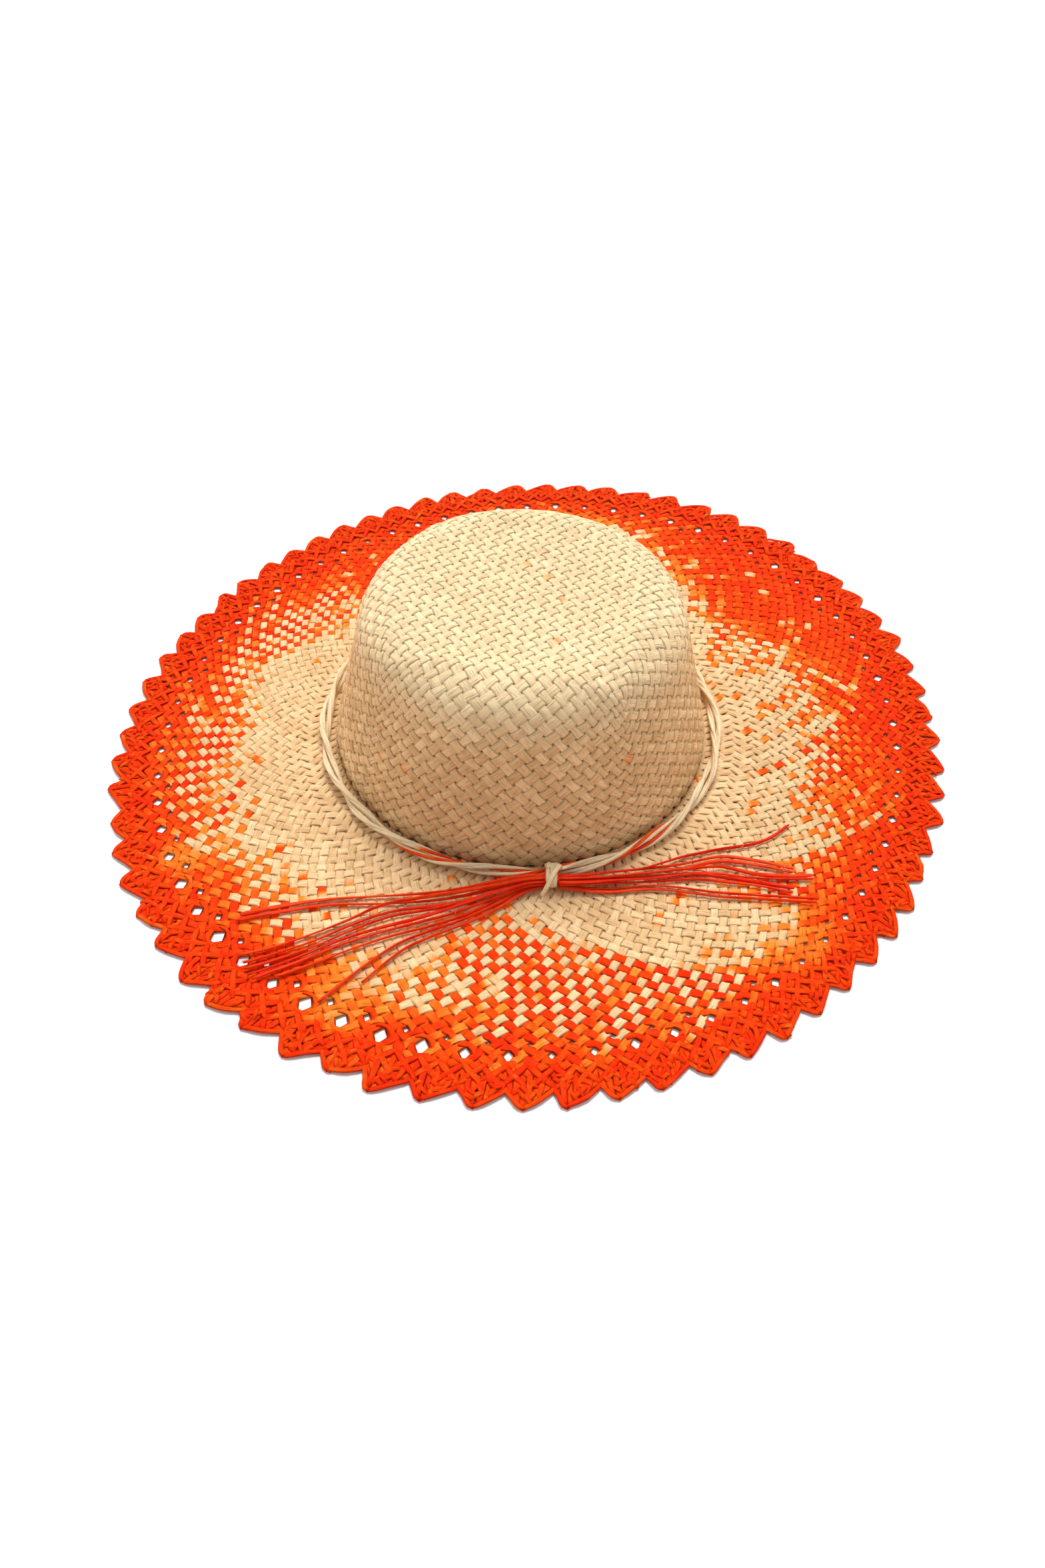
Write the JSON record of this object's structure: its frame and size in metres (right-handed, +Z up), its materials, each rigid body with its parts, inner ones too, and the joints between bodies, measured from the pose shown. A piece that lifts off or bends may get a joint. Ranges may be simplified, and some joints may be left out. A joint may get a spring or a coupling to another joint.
{
  "type": "straw sun hat",
  "caption": "Wide-brimmed plaited straw sun hat with a flat-topped crown, an openwork toothed edge, and a loose twisted hat cord tied at the front with long strand tails.",
  "frame": {"origin": "on the table under the middle of the brim, at the middle of the underside of the bounding box", "axes": "+Z up through the crown, -Y to the front of the hat where the cord is knotted, +X to the right seen from the front"},
  "size_m": [0.42, 0.42, 0.09],
  "materials": {
    "natural_straw": "matte plaited natural straw",
    "dyed_straw": "matte plaited straw, natural by the crown and dyed orange towards the edge",
    "orange_straw": "matte dyed orange straw",
    "ribbon": "matte ribbed ribbon",
    "thread": "matte cotton thread",
    "raffia_cord": "satin twisted raffia",
    "red_raffia": "satin dyed raffia"
  },
  "bodies": {
    "hat": {"crown_top": "natural_straw", "crown_side": "natural_straw", "brim": "dyed_straw", "openwork_ring": "orange_straw", "edge_braid": "orange_straw", "edge_teeth": "orange_straw", "sweatband": "ribbon", "sweatband_stitches": "thread"},
    "hat_cord": {"cord_ply_a": "raffia_cord", "cord_ply_b": "raffia_cord", "knot_winding": "raffia_cord", "knot_front_end": "raffia_cord", "knot_side_end": "raffia_cord", "left_tail_1": "red_raffia", "left_tail_2": "red_raffia", "left_tail_3": "red_raffia", "left_tail_4": "red_raffia", "left_tail_5": "red_raffia", "left_tail_6": "red_raffia", "left_tail_7": "red_raffia", "left_tail_8": "red_raffia", "left_tail_9": "red_raffia", "left_tail_10": "red_raffia", "right_tail_1": "red_raffia", "right_tail_2": "red_raffia", "right_tail_3": "red_raffia", "right_tail_4": "red_raffia", "right_tail_5": "red_raffia", "right_tail_6": "red_raffia", "right_tail_7": "red_raffia", "right_tail_8": "red_raffia", "right_tail_9": "red_raffia"}
  },
  "joints": [
    {"name": "cord_lift", "type": "slide", "parent": "hat", "child": "hat_cord", "axis": [0, 0, 1], "range_m": [0, 0.11]}
  ]
}
